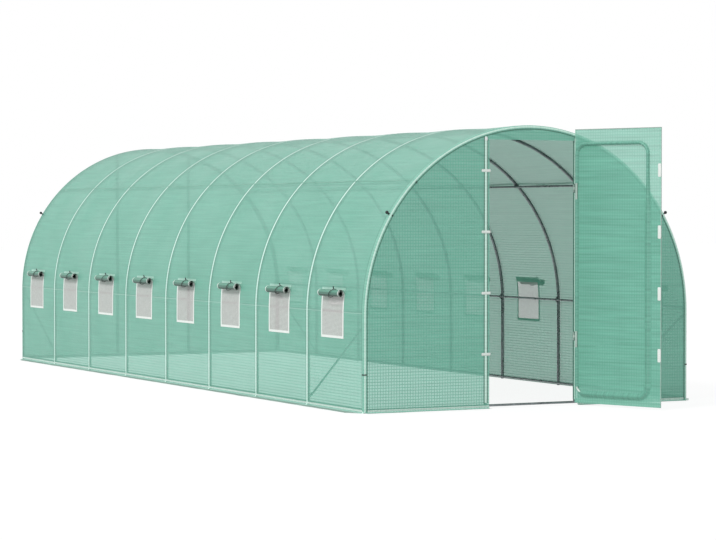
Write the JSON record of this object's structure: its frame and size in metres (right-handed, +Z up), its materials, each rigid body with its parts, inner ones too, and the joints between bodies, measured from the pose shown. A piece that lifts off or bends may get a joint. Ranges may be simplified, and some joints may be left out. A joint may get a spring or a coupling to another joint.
{
  "type": "tunnel greenhouse",
  "caption": "Long half-round tunnel greenhouse: tube hoops under green grid fabric, side windows with rolled-up flaps, and a framed fabric door that swings open.",
  "frame": {"origin": "on the ground, in the middle of the rectangle that the greenhouse takes up with its door open as at rest", "axes": "+Y from the doorway along the tunnel to the rear wall, +X across it to the right as seen from the doorway, +Z up"},
  "size_m": [3.2256, 8.8946, 2.2638],
  "materials": {
    "galvanised_steel": "galvanised, satin grey",
    "green_grid_fabric": "translucent green PE grid fabric, semi-matt",
    "white_hook_tape": "white hook-and-loop tape, matt"
  },
  "bodies": {
    "tunnel": {"hoop_1": "galvanised_steel", "hoop_2": "galvanised_steel", "hoop_3": "galvanised_steel", "hoop_4": "galvanised_steel", "hoop_5": "galvanised_steel", "hoop_6": "galvanised_steel", "hoop_7": "galvanised_steel", "hoop_8": "galvanised_steel", "hoop_9": "galvanised_steel", "side_beam_left": "galvanised_steel", "upper_beam_left": "galvanised_steel", "ridge_beam": "galvanised_steel", "upper_beam_right": "galvanised_steel", "side_beam_right": "galvanised_steel", "ground_rail_front": "galvanised_steel", "ground_rail_rear": "galvanised_steel", "ground_rail_left": "galvanised_steel", "ground_rail_right": "galvanised_steel", "brace_front_left": "galvanised_steel", "brace_front_right": "galvanised_steel", "brace_rear_left": "galvanised_steel", "brace_rear_right": "galvanised_steel", "front_post_left": "galvanised_steel", "front_post_right": "galvanised_steel", "rear_post_left": "galvanised_steel", "rear_post_right": "galvanised_steel", "hinge_bracket_lower": "galvanised_steel", "hinge_bracket_upper": "galvanised_steel", "cover_left": "green_grid_fabric", "cover_roof": "green_grid_fabric", "cover_right": "green_grid_fabric", "front_wall": "green_grid_fabric", "rear_wall": "green_grid_fabric", "post_strap_1": "white_hook_tape", "post_strap_2": "white_hook_tape", "post_strap_3": "white_hook_tape", "post_strap_4": "white_hook_tape"},
    "door": {"door_frame": "galvanised_steel", "door_skin": "green_grid_fabric", "door_strip_1": "white_hook_tape", "door_strip_2": "white_hook_tape", "door_strip_3": "white_hook_tape", "door_strip_4": "white_hook_tape"},
    "flap_left_1": {"flap_roll_left_1": "green_grid_fabric"},
    "flap_left_2": {"flap_roll_left_2": "green_grid_fabric"},
    "flap_left_3": {"flap_roll_left_3": "green_grid_fabric"},
    "flap_left_4": {"flap_roll_left_4": "green_grid_fabric"},
    "flap_left_5": {"flap_roll_left_5": "green_grid_fabric"},
    "flap_left_6": {"flap_roll_left_6": "green_grid_fabric"},
    "flap_left_7": {"flap_roll_left_7": "green_grid_fabric"},
    "flap_left_8": {"flap_roll_left_8": "green_grid_fabric"},
    "flap_right_1": {"flap_roll_right_1": "green_grid_fabric"},
    "flap_right_2": {"flap_roll_right_2": "green_grid_fabric"},
    "flap_right_3": {"flap_roll_right_3": "green_grid_fabric"},
    "flap_right_4": {"flap_roll_right_4": "green_grid_fabric"},
    "flap_right_5": {"flap_roll_right_5": "green_grid_fabric"},
    "flap_right_6": {"flap_roll_right_6": "green_grid_fabric"},
    "flap_right_7": {"flap_roll_right_7": "green_grid_fabric"},
    "flap_right_8": {"flap_roll_right_8": "green_grid_fabric"}
  },
  "joints": [
    {"name": "door_hinge", "type": "hinge", "parent": "tunnel", "child": "door", "pos_m": [0.3995, -3.64234, 1.16], "axis": [0, 0, 1], "range_deg": [-111, 64]},
    {"name": "flap_left_1_unroll", "type": "slide", "parent": "tunnel", "child": "flap_left_1", "axis": [-0.0654, 0, -0.9979], "range_m": [0, 0.34]},
    {"name": "flap_left_2_unroll", "type": "slide", "parent": "tunnel", "child": "flap_left_2", "axis": [-0.0654, 0, -0.9979], "range_m": [0, 0.34]},
    {"name": "flap_left_3_unroll", "type": "slide", "parent": "tunnel", "child": "flap_left_3", "axis": [-0.0654, 0, -0.9979], "range_m": [0, 0.34]},
    {"name": "flap_left_4_unroll", "type": "slide", "parent": "tunnel", "child": "flap_left_4", "axis": [-0.0654, 0, -0.9979], "range_m": [0, 0.34]},
    {"name": "flap_left_5_unroll", "type": "slide", "parent": "tunnel", "child": "flap_left_5", "axis": [-0.0654, 0, -0.9979], "range_m": [0, 0.34]},
    {"name": "flap_left_6_unroll", "type": "slide", "parent": "tunnel", "child": "flap_left_6", "axis": [-0.0654, 0, -0.9979], "range_m": [0, 0.34]},
    {"name": "flap_left_7_unroll", "type": "slide", "parent": "tunnel", "child": "flap_left_7", "axis": [-0.0654, 0, -0.9979], "range_m": [0, 0.34]},
    {"name": "flap_left_8_unroll", "type": "slide", "parent": "tunnel", "child": "flap_left_8", "axis": [-0.0654, 0, -0.9979], "range_m": [0, 0.34]},
    {"name": "flap_right_1_unroll", "type": "slide", "parent": "tunnel", "child": "flap_right_1", "axis": [0.0654, 0, -0.9979], "range_m": [0, 0.34]},
    {"name": "flap_right_2_unroll", "type": "slide", "parent": "tunnel", "child": "flap_right_2", "axis": [0.0654, 0, -0.9979], "range_m": [0, 0.34]},
    {"name": "flap_right_3_unroll", "type": "slide", "parent": "tunnel", "child": "flap_right_3", "axis": [0.0654, 0, -0.9979], "range_m": [0, 0.34]},
    {"name": "flap_right_4_unroll", "type": "slide", "parent": "tunnel", "child": "flap_right_4", "axis": [0.0654, 0, -0.9979], "range_m": [0, 0.34]},
    {"name": "flap_right_5_unroll", "type": "slide", "parent": "tunnel", "child": "flap_right_5", "axis": [0.0654, 0, -0.9979], "range_m": [0, 0.34]},
    {"name": "flap_right_6_unroll", "type": "slide", "parent": "tunnel", "child": "flap_right_6", "axis": [0.0654, 0, -0.9979], "range_m": [0, 0.34]},
    {"name": "flap_right_7_unroll", "type": "slide", "parent": "tunnel", "child": "flap_right_7", "axis": [0.0654, 0, -0.9979], "range_m": [0, 0.34]},
    {"name": "flap_right_8_unroll", "type": "slide", "parent": "tunnel", "child": "flap_right_8", "axis": [0.0654, 0, -0.9979], "range_m": [0, 0.34]}
  ]
}
